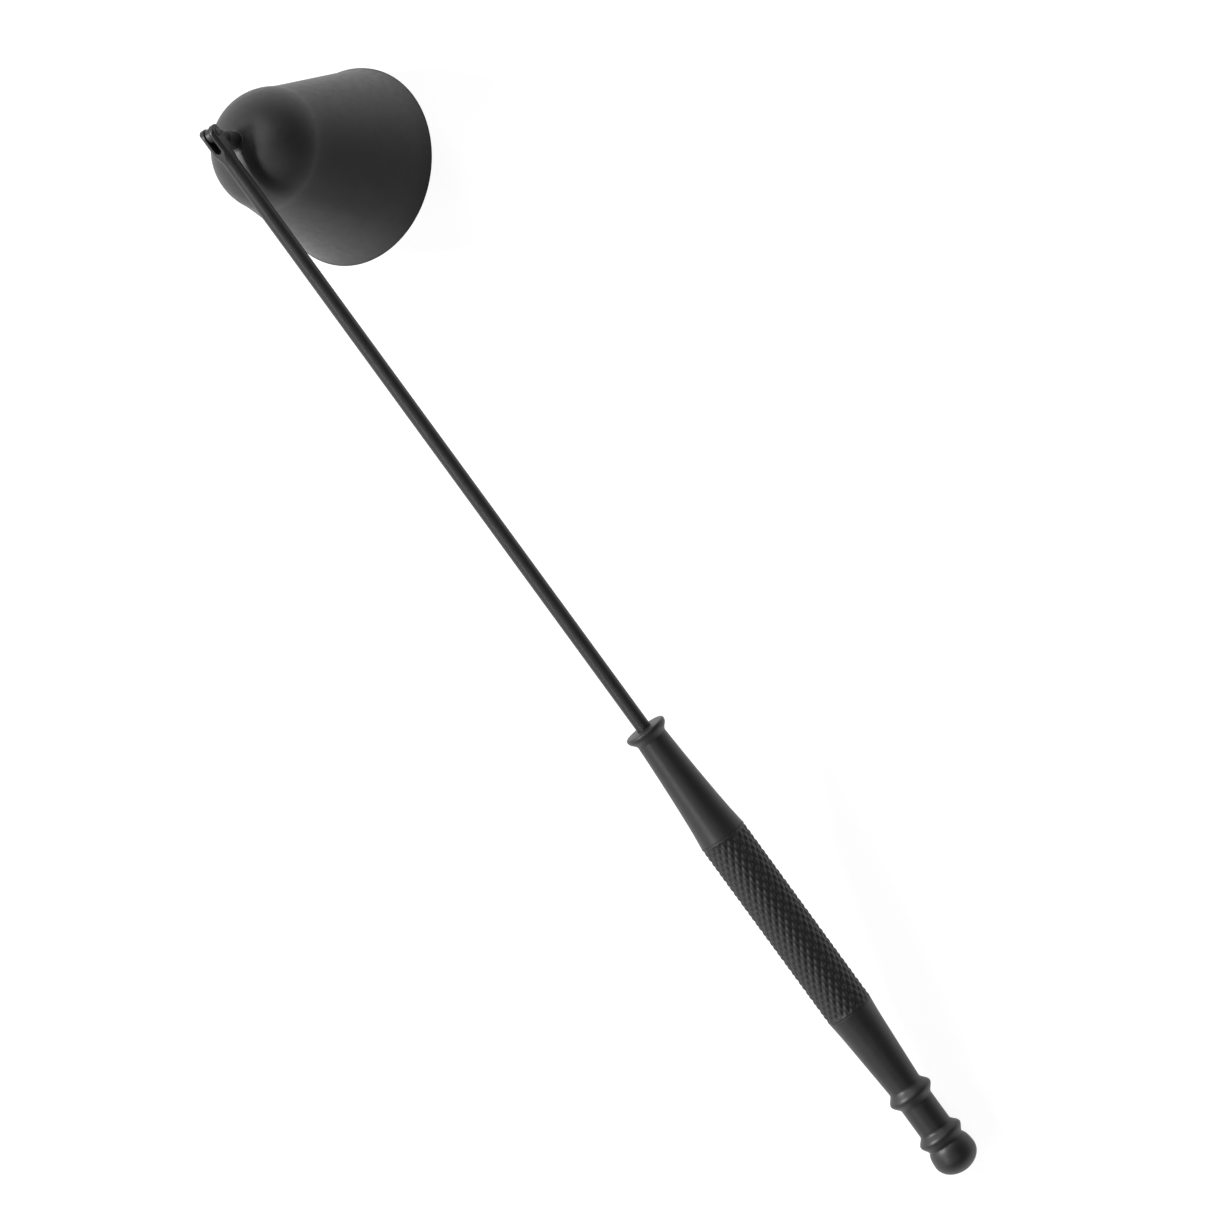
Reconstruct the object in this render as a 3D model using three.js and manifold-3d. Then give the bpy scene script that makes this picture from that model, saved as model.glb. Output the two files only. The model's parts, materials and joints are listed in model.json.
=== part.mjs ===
// Candle snuffer: a bell-shaped cup on a crown lug, pinned in the forked end of a long rod,
// with a turned handle on the rod's other end. Millimetres, +Z up.
// The snuffer lies on a table, on one edge of the bell's lip and on the ball at its tail.
// +X runs along the rod, from the bell to the tail, and the origin is under the middle of the whole.
import * as THREE from "three";
import { mergeVertices } from "three/addons/utils/BufferGeometryUtils.js";
import Module from "manifold-3d";

const wasm = await Module();
wasm.setup();

const degrees = THREE.MathUtils.degToRad;

// Pose at rest: the angle between the bell's axis and the rod, and the turn of the pin round the rod.
const HINGE_ANGLE = degrees(54.9);
const PIN_ROLL = degrees(30.9);

// Search for the pitch at which the snuffer lies level on its lip and its ball.
const STEEPEST_PITCH = degrees(30);
const PITCH_STEPS = 30;

// Clearances: between faces that seat on each other, and between faces that turn on each other.
const SEAT_GAP = 0.3;
const RUNNING_GAP = 0.15;

// Facets round a turned piece, by its size.
const BELL_FACETS = 48;
const HANDLE_FACETS = 32;
const SMALL_FACETS = 24;
const CURVE_STEPS = 5;

// Bell, measured from its mouth plane up its axis.
const MOUTH_R = 19.5;
const LIP_FLARE_HEIGHT = 3.6;
const LIP_FLARE_R = 18.25;
const LIP_FLARE_BEND_R = 18.6;
const SKIRT_TOP_HEIGHT = 20.0;
const SKIRT_TOP_R = 13.75;
const WAIST_HEIGHT = 24.0;
const WAIST_R = 12.6;
const CROWN_R = 12.3;
const CROWN_START = degrees(4);
const CROWN_SEAT_R = 2.2;
const CROWN_TOP = 36.75;
const BELL_WALL = 1.0;
const PIN_HEIGHT = 44.0;

// Crown lug and its fastening.
const POST_R = 1.7;
const POST_HEIGHT = 2.9;
const POST_SHOULDER_HEIGHT = 1.1;
const POST_SHOULDER_R = 0.7;
const TONGUE_HALF_WIDTH = 1.5;
const TONGUE_ROOT_DEPTH = 0.4;
const TONGUE_THICKNESS = 1.0;
const SCREW_R = 0.8;
const SCREW_HEAD_R = 1.9;
const SCREW_HEAD_FLAT_R = 1.1;
const SCREW_HEAD_HEIGHT = 1.4;
const SCREW_HEAD_EDGE = 0.6;
const SCREW_SLOT = 0.6;
const SCREW_REACH = 2.2;
const WASHER_R = 2.4;
const WASHER_THICKNESS = 0.5;

// Rod, its forked end and the pin.
const ROD_R = 1.5;
const FORK_EYE_R = 1.75;
const FORK_WIDTH = 3.3;
const FORK_SLOT = TONGUE_THICKNESS + 2 * RUNNING_GAP;
const FORK_THROAT = 3.7;
const FORK_BLEND = 7.0;
const FORK_BLEND_HALF_HEIGHT = 1.2;
const FORK_ROUND_R = 2.0;
const FORK_ROUND_END = 6.2;
const FORK_OVERLAP = 1.0;
const ROD_END_TAPER = 0.5;
const PIN_R = 0.75;
const PIN_PROUD = 0.2;

// Handle, measured from the pin along the rod.
const COLLAR_FRONT = 143.2;
const COLLAR_FACE_R = 2.4;
const COLLAR_R = 4.4;
const COLLAR_RIM = 1.1;
const COLLAR_EDGE = 0.5;
const COLLAR_DISH = 0.1;
const TAPER_START = 145.8;
const TAPER_START_R = 3.2;
const TAPER_SWEEP = 0.4;
const TAPER_BEND_R = 3.7;
const TAPER_BEND = 157.3;
const SHOULDER = 165.9;
const SHOULDER_R = 4.45;
const GRIP_START = 169.3;
const GRIP_END = 212.2;
const GRIP_R = 4.9;
const GRIP_CHAMFER = 0.4;
const GRIP_EDGE_R = 4.8;
const FERRULE_EDGE_R = 4.85;
const REAR_SHOULDER = 215.8;
const REAR_SHOULDER_R = 4.5;
const REAR_TAPER_END_R = 3.5;
const BEAD_1_START = 230.6;
const BEAD_1_END = 234.8;
const BEAD_R = 4.68;
const NECK_R = 3.48;
const BEAD_2_START = 240.9;
const BEAD_2_END = 244.7;
const NOTCH_R = 3.85;
const BALL_CENTRE = 247.7;
const BALL_R = 4.63;
const BALL_END = 251.4;
const BALL_BLEND = 0.9;
const ROUND_HANDLE = 0.56;
const BORE_R = ROD_R + SEAT_GAP;
const ROD_END = 246.5;

// One satin black paint over the steel, and bare metal for the small fastenings.
const black = () => new THREE.MeshStandardMaterial({ color: 0x1d1d1f, roughness: 0.5, metalness: 0.2 });
const steel = () => new THREE.MeshStandardMaterial({ color: 0x8e8f92, roughness: 0.35, metalness: 0.9 });

// Geometry with its shared vertices merged, as a solid that can be joined or cut.
function toSolid(geometry) {
  const bare = geometry.index ? geometry.toNonIndexed() : geometry.clone();
  bare.deleteAttribute("normal");
  bare.deleteAttribute("uv");
  const merged = mergeVertices(bare, 1e-4);
  return new wasm.Manifold(new wasm.Mesh({
    numProp: 3,
    vertProperties: merged.attributes.position.array,
    triVerts: new Uint32Array(merged.index.array),
  }));
}

// A cut or joined solid, back as geometry.
function toGeometry(solid) {
  const mesh = solid.getMesh();
  const geometry = new THREE.BufferGeometry();
  geometry.setAttribute("position", new THREE.BufferAttribute(mesh.vertProperties, 3));
  geometry.setIndex(new THREE.BufferAttribute(mesh.triVerts, 1));
  geometry.computeVertexNormals();
  return geometry;
}

// One named mesh.
function piece(name, geometry, material) {
  const mesh = new THREE.Mesh(geometry, material);
  mesh.name = name;
  return mesh;
}

// An outline of radius against height, turned round the Z axis.
function turnedUp(outline, facets) {
  const geometry = new THREE.LatheGeometry(outline.getPoints(CURVE_STEPS), facets);
  return geometry.rotateX(Math.PI / 2);
}

// An outline of radius against distance, turned round the X axis.
function turnedAlong(outline, facets) {
  const geometry = new THREE.LatheGeometry(outline.getPoints(CURVE_STEPS), facets);
  return geometry.rotateZ(-Math.PI / 2);
}

// A plain round bar along the Y axis, centred on the origin.
function crossBar(radius, length) {
  return new THREE.CylinderGeometry(radius, radius, length, SMALL_FACETS);
}

// A flat shape drawn in X and Z, given a thickness along Y and centred on it.
function plate(shape, thickness) {
  const options = { depth: thickness, bevelEnabled: false, curveSegments: 12 };
  const geometry = new THREE.ExtrudeGeometry(shape, options);
  return geometry.rotateX(Math.PI / 2).translate(0, thickness / 2, 0);
}

// One side of the bell's wall from its lip to its crown: the flare, the straight skirt and the round
// crown, with a slight waist before the crown. The inside is the same outline, one wall further in.
function wallSide(inset, seatHeight) {
  const centreHeight = CROWN_TOP - Math.sqrt(CROWN_R ** 2 - CROWN_SEAT_R ** 2);
  const crownR = CROWN_R - inset;
  const side = new THREE.Path();
  side.moveTo(MOUTH_R - inset, 0);
  side.quadraticCurveTo(LIP_FLARE_BEND_R - inset, LIP_FLARE_HEIGHT / 2, LIP_FLARE_R - inset, LIP_FLARE_HEIGHT);
  side.lineTo(SKIRT_TOP_R - inset, SKIRT_TOP_HEIGHT);
  const startR = crownR * Math.cos(CROWN_START);
  const startHeight = centreHeight + crownR * Math.sin(CROWN_START);
  side.quadraticCurveTo(WAIST_R - inset, WAIST_HEIGHT, startR, startHeight);
  side.absarc(0, centreHeight, crownR, CROWN_START, Math.asin((seatHeight - centreHeight) / crownR), false);
  return side.getPoints(CURVE_STEPS);
}

// Bell cup: a thin wall, open at its mouth, with a small flat seat and a hole at its crown.
function bellCup() {
  const innerTop = CROWN_TOP - BELL_WALL;
  const holeR = SCREW_R + SEAT_GAP;
  const outside = wallSide(0, CROWN_TOP);
  const inside = wallSide(BELL_WALL, innerTop);
  const seat = [new THREE.Vector2(holeR, CROWN_TOP), new THREE.Vector2(holeR, innerTop)];
  const section = [...outside, ...seat, ...inside.reverse(), outside[0]];
  const geometry = new THREE.LatheGeometry(section, BELL_FACETS).rotateX(Math.PI / 2);
  return piece("bell_cup", geometry, black());
}

// Lug on the crown: a round post with a flat tongue that stands up into the fork.
function crownLug() {
  const foot = CROWN_TOP + SEAT_GAP;
  const postTop = foot + POST_HEIGHT;
  const post = new THREE.Path();
  post.moveTo(0, foot);
  post.lineTo(POST_R, foot);
  post.lineTo(POST_R, postTop);
  post.quadraticCurveTo(POST_R, postTop + POST_SHOULDER_HEIGHT / 2, POST_SHOULDER_R, postTop + POST_SHOULDER_HEIGHT);
  post.lineTo(0, postTop + POST_SHOULDER_HEIGHT);

  const root = postTop - TONGUE_ROOT_DEPTH;
  const tongue = new THREE.Shape();
  tongue.moveTo(-TONGUE_HALF_WIDTH, root);
  tongue.lineTo(TONGUE_HALF_WIDTH, root);
  tongue.lineTo(TONGUE_HALF_WIDTH, PIN_HEIGHT);
  tongue.absarc(0, PIN_HEIGHT, TONGUE_HALF_WIDTH, 0, Math.PI, false);

  const pinHole = crossBar(PIN_R + RUNNING_GAP, 2 * TONGUE_THICKNESS).translate(0, 0, PIN_HEIGHT);
  const tapped = crossBar(SCREW_R + SEAT_GAP, 2 * (SCREW_REACH + SEAT_GAP));
  const tappedHole = tapped.rotateX(Math.PI / 2).translate(0, 0, foot);
  const solid = toSolid(turnedUp(post, SMALL_FACETS))
    .add(toSolid(plate(tongue, TONGUE_THICKNESS)))
    .subtract(toSolid(pinHole))
    .subtract(toSolid(tappedHole));
  return piece("crown_lug", toGeometry(solid), black());
}

// Flat washer inside the bell, under the screw's head.
function lugWasher() {
  const top = CROWN_TOP - BELL_WALL - SEAT_GAP;
  const holeR = SCREW_R + SEAT_GAP;
  const section = new THREE.Path();
  section.moveTo(holeR, top - WASHER_THICKNESS);
  section.lineTo(WASHER_R, top - WASHER_THICKNESS);
  section.lineTo(WASHER_R, top);
  section.lineTo(holeR, top);
  section.lineTo(holeR, top - WASHER_THICKNESS);
  return piece("lug_washer", turnedUp(section, SMALL_FACETS), steel());
}

// Slotted pan-head screw, up through the washer and the crown into the lug.
function lugScrew() {
  const seat = CROWN_TOP - BELL_WALL - WASHER_THICKNESS - 2 * SEAT_GAP;
  const underside = seat - SCREW_HEAD_HEIGHT;
  const outline = new THREE.Path();
  outline.moveTo(0, underside);
  outline.lineTo(SCREW_HEAD_FLAT_R, underside);
  outline.quadraticCurveTo(SCREW_HEAD_R, underside, SCREW_HEAD_R, seat - SCREW_HEAD_EDGE);
  outline.lineTo(SCREW_HEAD_R, seat);
  outline.lineTo(SCREW_R, seat);
  outline.lineTo(SCREW_R, CROWN_TOP + SCREW_REACH);
  outline.lineTo(0, CROWN_TOP + SCREW_REACH);
  const slot = new THREE.BoxGeometry(4 * SCREW_HEAD_R, SCREW_SLOT, 2 * SCREW_SLOT);
  const solid = toSolid(turnedUp(outline, SMALL_FACETS))
    .subtract(toSolid(slot.translate(0, 0, underside)));
  return piece("lug_screw", toGeometry(solid), steel());
}

// Rod with a forked end: its two tines pass each side of the lug's tongue.
function rod() {
  const bar = new THREE.Path();
  bar.moveTo(0, FORK_THROAT);
  bar.lineTo(ROD_R, FORK_THROAT);
  bar.lineTo(ROD_R, ROD_END - ROD_END_TAPER);
  bar.lineTo(ROD_R - ROD_END_TAPER, ROD_END);
  bar.lineTo(0, ROD_END);

  const halfHeight = FORK_BLEND_HALF_HEIGHT;
  const side = new THREE.Shape();
  side.moveTo(0, FORK_EYE_R);
  side.absarc(0, 0, FORK_EYE_R, Math.PI / 2, -Math.PI / 2, false);
  side.bezierCurveTo(FORK_BLEND / 3, -FORK_EYE_R, FORK_BLEND / 2, -halfHeight, FORK_BLEND, -halfHeight);
  side.lineTo(FORK_BLEND, halfHeight);
  side.bezierCurveTo(FORK_BLEND / 2, halfHeight, FORK_BLEND / 3, FORK_EYE_R, 0, FORK_EYE_R);

  const width = new THREE.Path();
  width.moveTo(0, -2 * FORK_EYE_R);
  width.lineTo(FORK_ROUND_R, -2 * FORK_EYE_R);
  width.lineTo(FORK_ROUND_R, FORK_THROAT);
  width.lineTo(ROD_R, FORK_ROUND_END);
  width.lineTo(ROD_R, FORK_BLEND + FORK_OVERLAP);
  width.lineTo(0, FORK_BLEND + FORK_OVERLAP);

  const slot = new THREE.Shape();
  slot.moveTo(-2 * FORK_EYE_R, -FORK_SLOT / 2);
  slot.lineTo(FORK_THROAT - FORK_SLOT / 2, -FORK_SLOT / 2);
  slot.absarc(FORK_THROAT - FORK_SLOT / 2, 0, FORK_SLOT / 2, -Math.PI / 2, Math.PI / 2, false);
  slot.lineTo(-2 * FORK_EYE_R, FORK_SLOT / 2);

  const pinHole = crossBar(PIN_R + RUNNING_GAP, 2 * FORK_WIDTH);
  const fork = toSolid(plate(side, FORK_WIDTH))
    .intersect(toSolid(turnedAlong(width, HANDLE_FACETS)));
  const solid = toSolid(turnedAlong(bar, SMALL_FACETS))
    .add(fork)
    .subtract(toSolid(plate(slot, 4 * FORK_EYE_R).rotateX(Math.PI / 2)))
    .subtract(toSolid(pinHole));
  return piece("rod", toGeometry(solid), black());
}

// Pin through the fork and the tongue, with its ends peened to a low dome.
function hingePin() {
  const half = FORK_WIDTH / 2 + PIN_PROUD;
  const outline = new THREE.Path();
  outline.moveTo(0, -half);
  outline.quadraticCurveTo(PIN_R, -half, PIN_R, -half + PIN_PROUD);
  outline.lineTo(PIN_R, half - PIN_PROUD);
  outline.quadraticCurveTo(PIN_R, half, 0, half);
  const geometry = turnedUp(outline, SMALL_FACETS).rotateX(Math.PI / 2);
  return piece("hinge_pin", geometry, black());
}

// A hollow turned piece of the handle: the outline's outside, closed along the rod's bore.
function sleeve(name, outline, start, end) {
  outline.lineTo(BORE_R, end);
  outline.lineTo(BORE_R, start);
  return piece(name, turnedAlong(outline, HANDLE_FACETS), black());
}

// Front ferrule: the round collar, and the taper that widens from it to the grip.
function frontFerrule() {
  const end = GRIP_START - SEAT_GAP;
  const rimBack = COLLAR_FRONT + COLLAR_RIM;
  const outline = new THREE.Path();
  outline.moveTo(BORE_R, COLLAR_FRONT);
  outline.lineTo(COLLAR_FACE_R, COLLAR_FRONT);
  outline.lineTo(COLLAR_R - COLLAR_EDGE, COLLAR_FRONT + COLLAR_DISH);
  outline.quadraticCurveTo(COLLAR_R, COLLAR_FRONT + COLLAR_DISH, COLLAR_R, COLLAR_FRONT + COLLAR_RIM / 2);
  outline.quadraticCurveTo(COLLAR_R, rimBack, COLLAR_R - COLLAR_EDGE, rimBack);
  outline.quadraticCurveTo(TAPER_START_R, TAPER_START - TAPER_SWEEP, TAPER_START_R, TAPER_START);
  outline.quadraticCurveTo(TAPER_BEND_R, TAPER_BEND, SHOULDER_R, SHOULDER);
  outline.lineTo(FERRULE_EDGE_R, end);
  return sleeve("front_ferrule", outline, COLLAR_FRONT, end);
}

// Grip: the plain sleeve to the crests of its knurling.
function knurledGrip() {
  const outline = new THREE.Path();
  outline.moveTo(BORE_R, GRIP_START);
  outline.lineTo(GRIP_EDGE_R, GRIP_START);
  outline.lineTo(GRIP_R, GRIP_START + GRIP_CHAMFER);
  outline.lineTo(GRIP_R, GRIP_END - GRIP_CHAMFER);
  outline.lineTo(GRIP_EDGE_R, GRIP_END);
  return sleeve("knurled_grip", outline, GRIP_START, GRIP_END);
}

// Half of a round bead: from its foot out to its crest, or back, by one smooth curve.
function beadSide(outline, fromR, from, toR, to) {
  const middle = (from + to) / 2;
  outline.bezierCurveTo(fromR, middle, toR, middle, toR, to);
}

// Rear ferrule: the taper that narrows from the grip, its first bead and the neck behind it.
function rearFerrule() {
  const start = GRIP_END + SEAT_GAP;
  const end = BEAD_2_START - SEAT_GAP;
  const crest = (BEAD_1_START + BEAD_1_END) / 2;
  const outline = new THREE.Path();
  outline.moveTo(BORE_R, start);
  outline.lineTo(FERRULE_EDGE_R, start);
  outline.lineTo(REAR_SHOULDER_R, REAR_SHOULDER);
  outline.lineTo(REAR_TAPER_END_R, BEAD_1_START);
  beadSide(outline, REAR_TAPER_END_R, BEAD_1_START, BEAD_R, crest);
  beadSide(outline, BEAD_R, crest, NECK_R, BEAD_1_END);
  outline.lineTo(NECK_R, end);
  return sleeve("rear_ferrule", outline, start, end);
}

// Tail finial: the second bead and the ball, bored blind for the rod's end.
function tailFinial() {
  const crest = (BEAD_2_START + BEAD_2_END) / 2;
  const boreEnd = ROD_END + SEAT_GAP;
  const roundEnd = BALL_CENTRE + (BALL_END - BALL_CENTRE) * ROUND_HANDLE;
  const outline = new THREE.Path();
  outline.moveTo(BORE_R, BEAD_2_START);
  outline.lineTo(NECK_R, BEAD_2_START);
  beadSide(outline, NECK_R, BEAD_2_START, BEAD_R, crest);
  beadSide(outline, BEAD_R, crest, NOTCH_R, BEAD_2_END);
  outline.quadraticCurveTo(BALL_R, BEAD_2_END + BALL_BLEND, BALL_R, BALL_CENTRE);
  outline.bezierCurveTo(BALL_R, roundEnd, BALL_R * ROUND_HANDLE, BALL_END, 0, BALL_END);
  outline.lineTo(0, boreEnd);
  outline.lineTo(BORE_R, boreEnd);
  outline.lineTo(BORE_R, BEAD_2_START);
  return piece("tail_finial", turnedAlong(outline, HANDLE_FACETS), black());
}

// Everything that swings with the bell. Its own frame has the mouth at height 0.
function bellGroup() {
  const group = new THREE.Group();
  group.add(bellCup(), crownLug(), lugWasher(), lugScrew());
  return group;
}

// Lowest point of a mesh or group, in the whole snuffer's frame.
function lowest(object) {
  return new THREE.Box3().setFromObject(object, true).min.z;
}

// Pitches the snuffer until the bell's lip and the ball at the tail stand on one level.
function layDown(group, lip, ball) {
  let shallow = 0;
  let steep = STEEPEST_PITCH;
  for (let step = 0; step < PITCH_STEPS; step += 1) {
    group.rotation.y = (shallow + steep) / 2;
    group.updateMatrixWorld(true);
    if (lowest(ball) > lowest(lip)) {
      shallow = group.rotation.y;
    } else {
      steep = group.rotation.y;
    }
  }
}

// The whole snuffer: its inner frame has the pin at its origin and the rod along +X.
function snuffer() {
  const bell = bellGroup();
  bell.position.set(0, 0, -PIN_HEIGHT);
  const swing = new THREE.Group();
  swing.rotation.set(PIN_ROLL, HINGE_ANGLE - Math.PI / 2, 0, "XYZ");
  swing.add(bell);

  const pin = hingePin();
  const rodPiece = rod();
  const turnedWithPin = new THREE.Group();
  turnedWithPin.rotation.x = PIN_ROLL;
  turnedWithPin.add(rodPiece, pin);

  const finial = tailFinial();
  const lying = new THREE.Group();
  lying.add(swing, turnedWithPin, frontFerrule(), knurledGrip(), rearFerrule(), finial);
  layDown(lying, bell, finial);

  const box = new THREE.Box3().setFromObject(lying, true);
  const centre = box.getCenter(new THREE.Vector3());
  lying.position.set(-centre.x, -centre.y, -box.min.z);
  const whole = new THREE.Group();
  whole.add(lying);
  return whole;
}

const group = snuffer();
export default group;
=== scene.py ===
"""Visual model of a candle snuffer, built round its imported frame. Metres, +Z up.

Each sub-assembly is a class. Its shapes are drawn in millimetres in a frame of its own, whose
height runs along the turned axis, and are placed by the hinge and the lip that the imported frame
gives.
"""

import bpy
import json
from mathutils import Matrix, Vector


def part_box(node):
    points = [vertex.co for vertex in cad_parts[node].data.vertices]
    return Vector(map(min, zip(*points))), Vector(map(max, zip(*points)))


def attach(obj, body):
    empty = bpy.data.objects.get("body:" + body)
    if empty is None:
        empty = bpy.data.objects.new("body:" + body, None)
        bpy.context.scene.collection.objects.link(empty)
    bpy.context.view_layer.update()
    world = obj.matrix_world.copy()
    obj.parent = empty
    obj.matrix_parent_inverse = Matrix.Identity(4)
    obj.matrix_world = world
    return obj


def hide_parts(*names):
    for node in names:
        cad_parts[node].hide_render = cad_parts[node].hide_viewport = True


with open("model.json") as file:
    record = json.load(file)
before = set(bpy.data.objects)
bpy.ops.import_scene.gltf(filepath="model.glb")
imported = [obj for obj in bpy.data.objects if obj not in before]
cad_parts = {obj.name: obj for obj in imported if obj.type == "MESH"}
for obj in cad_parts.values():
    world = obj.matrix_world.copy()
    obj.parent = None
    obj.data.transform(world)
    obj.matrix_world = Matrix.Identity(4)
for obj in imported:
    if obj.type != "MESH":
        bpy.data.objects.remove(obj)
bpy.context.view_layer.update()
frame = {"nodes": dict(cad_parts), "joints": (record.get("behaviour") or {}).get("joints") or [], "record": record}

import json
import logging
import math
from collections.abc import Callable, Sequence
from dataclasses import dataclass, field
from enum import Enum

import bmesh
import bpy
from mathutils import Matrix, Vector

log = logging.getLogger("candle_snuffer")

MM = 0.001
WHITE = (1.0, 1.0, 1.0, 1.0)
SLIM_FACETS = 64  # Facets round a slim part: the rod, the post, the pin, the screw or a hole.
ON_AXIS = 1e-6  # Lengths under this, in millimetres, count as none.

Relief = Callable[[float, float], float]


class Body(Enum):
    """The two rigid bodies of the snuffer."""

    HANDLE = "handle"
    BELL = "bell"


class Slot(Enum):
    """The record's material slots."""

    PAINT = "black_paint"
    STEEL = "bare_steel"


@dataclass(frozen=True)
class TurningFrame:
    """A frame in millimetres: its height is along a turned axis, and its Y is along the pin."""

    origin: Vector
    height: Vector
    pin: Vector

    def matrix(self) -> Matrix:
        """Return the matrix from this frame, in millimetres, to the snuffer's, in metres."""
        side = self.pin.cross(self.height)
        turn = Matrix((side, self.pin, self.height)).transposed().to_4x4()
        return Matrix.Translation(self.origin) @ turn @ Matrix.Scale(MM, 4)

    def reach(self, node: str) -> tuple[float, float, float]:
        """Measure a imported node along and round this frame's axis.

        Args:
            node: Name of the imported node.

        Returns:
            Its lowest height, its highest height and its largest radius, in millimetres.
        """
        inward = self.matrix().inverted()
        points = [inward @ vertex.co for vertex in frame["nodes"][node].data.vertices]
        heights = [point.z for point in points]
        return min(heights), max(heights), max(point.xy.length for point in points)


def hinge_frames() -> tuple[TurningFrame, TurningFrame]:
    """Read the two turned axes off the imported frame.

    Returns:
        The handle's frame, whose origin is the pin, and the bell's frame, whose origin is the
        mouth's centre.
    """
    joint = frame["joints"][0]
    pin_centre = Vector(joint["pos_m"])
    pin = Vector(joint["axis"]).normalized()
    grip_low, grip_high = (Vector(corner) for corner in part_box("knurled_grip"))
    along_rod = ((grip_low + grip_high) / 2 - pin_centre).normalized()
    lip = next(mount for mount in frame["record"]["mounts"] if mount["name"] == "lip_face")
    out_of_mouth = Vector(lip["axis"]).normalized()
    depth = (Vector(lip["pos_m"]) - pin_centre).dot(out_of_mouth)
    handle = TurningFrame(pin_centre, along_rod, pin)
    bell = TurningFrame(pin_centre + depth * out_of_mouth, -out_of_mouth, pin)
    return handle, bell


def _on_bend(start: Vector, bend: Vector, stop: Vector, t: float) -> Vector:
    """Return the point a share t of the way along a bend drawn towards its middle point."""
    return start * (1 - t) ** 2 + bend * (2 * t * (1 - t)) + stop * t**2


class Outline:
    """The section of a turned piece: points of radius against height, with rounded corners."""

    SUPPORT = 0.12
    LONG_SIDE = 6 * SUPPORT
    FILLET_STEPS = 4
    CURVE_STEPS = 12

    def __init__(self) -> None:
        """Start with no points."""
        self._corners: list[tuple[Vector, float]] = []

    def corner(self, radius: float, height: float, fillet: float = 0.0) -> "Outline":
        """Add a corner.

        Args:
            radius: Distance from the axis.
            height: Place along the axis.
            fillet: How far from the corner its rounding starts.

        Returns:
            This outline.
        """
        self._corners.append((Vector((radius, height)), fillet))
        return self

    def curve(self, control: tuple[float, float], end: tuple[float, float]) -> "Outline":
        """Add a smooth bend from the last point.

        Args:
            control: Radius and height that the bend is drawn towards.
            end: Radius and height where it ends.

        Returns:
            This outline.
        """
        start, bend, stop = self._corners[-1][0], Vector(control), Vector(end)
        for step in range(1, self.CURVE_STEPS + 1):
            self._corners.append((_on_bend(start, bend, stop, step / self.CURVE_STEPS), 0.0))
        return self

    def arc(
        self, centre_height: float, radius: float, first: float, last: float, steps: int
    ) -> "Outline":
        """Add an arc whose centre is on the axis.

        Args:
            centre_height: Height of the centre.
            radius: Radius of the arc.
            first: Angle above the level of the centre where it starts, in radians.
            last: Angle where it ends.
            steps: How many pieces it is drawn in.

        Returns:
            This outline.
        """
        for step in range(steps + 1):
            angle = first + (last - first) * step / steps
            point = Vector((radius * math.cos(angle), centre_height + radius * math.sin(angle)))
            self._corners.append((point, 0.0))
        return self

    def rows(self, start: float, end: float, radius: float, count: int) -> "Outline":
        """Add a straight stretch in even rows, for a relief to be pressed into.

        Args:
            start: Height of the first row.
            end: Height of the last row.
            radius: Distance from the axis.
            count: How many rows.

        Returns:
            This outline.
        """
        for row in range(count + 1):
            self._corners.append((Vector((radius, start + (end - start) * row / count)), 0.0))
        return self

    def points(self) -> list[Vector]:
        """Return the outline's points, with corners rounded and long sides held straight."""
        rounded: list[Vector] = []
        for index, (point, fillet) in enumerate(self._corners):
            if fillet == 0.0:
                rounded.append(point)
                continue
            before = self._corners[index - 1][0]
            after = self._corners[(index + 1) % len(self._corners)][0]
            start = point + (before - point).normalized() * fillet
            stop = point + (after - point).normalized() * fillet
            for step in range(self.FILLET_STEPS + 1):
                rounded.append(_on_bend(start, point, stop, step / self.FILLET_STEPS))
        held = [rounded[0]]
        for point in rounded[1:]:
            side = point - held[-1]
            if side.length > self.LONG_SIDE:
                step = side.normalized() * self.SUPPORT
                held += [held[-1] + step, point - step]
            held.append(point)
        return held


def turned(outline: Outline, facets: int, relief: Relief | None = None) -> bmesh.types.BMesh:
    """Turn an outline round the height axis.

    Args:
        outline: The section. It starts and ends on the axis, or ends where it starts.
        facets: How many facets go round.
        relief: Depth pressed into the surface at an angle and a height, if any.

    Returns:
        The closed surface, in millimetres.
    """
    mesh = bmesh.new()
    points = outline.points()
    closed = (points[0] - points[-1]).length < ON_AXIS
    if closed:
        points = points[:-1]
    rings: list[list[bmesh.types.BMVert]] = []
    for point in points:
        if point.x < ON_AXIS:
            rings.append([mesh.verts.new((0.0, 0.0, point.y))])
            continue
        ring = []
        for facet in range(facets):
            angle = math.tau * facet / facets
            radius = point.x - (relief(angle, point.y) if relief else 0.0)
            across = (radius * math.cos(angle), radius * math.sin(angle))
            ring.append(mesh.verts.new((*across, point.y)))
        rings.append(ring)
    following = rings[1:] + rings[:1] if closed else rings[1:]
    for lower, upper in zip(rings, following):
        _bridge(mesh, lower, upper, facets)
    bmesh.ops.recalc_face_normals(mesh, faces=mesh.faces)
    return mesh


def _bridge(mesh: bmesh.types.BMesh, lower: list, upper: list, facets: int) -> None:
    """Join two rings, either of which may be a single point on the axis.

    Args:
        mesh: The mesh that gets the faces.
        lower: One ring of vertices.
        upper: The next ring.
        facets: How many facets go round.
    """
    for facet in range(facets):
        following = (facet + 1) % facets
        corners = [lower[facet % len(lower)]]
        if len(lower) > 1:
            corners.append(lower[following])
        corners.append(upper[following % len(upper)])
        if len(upper) > 1:
            corners.append(upper[facet])
        mesh.faces.new(corners)


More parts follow.
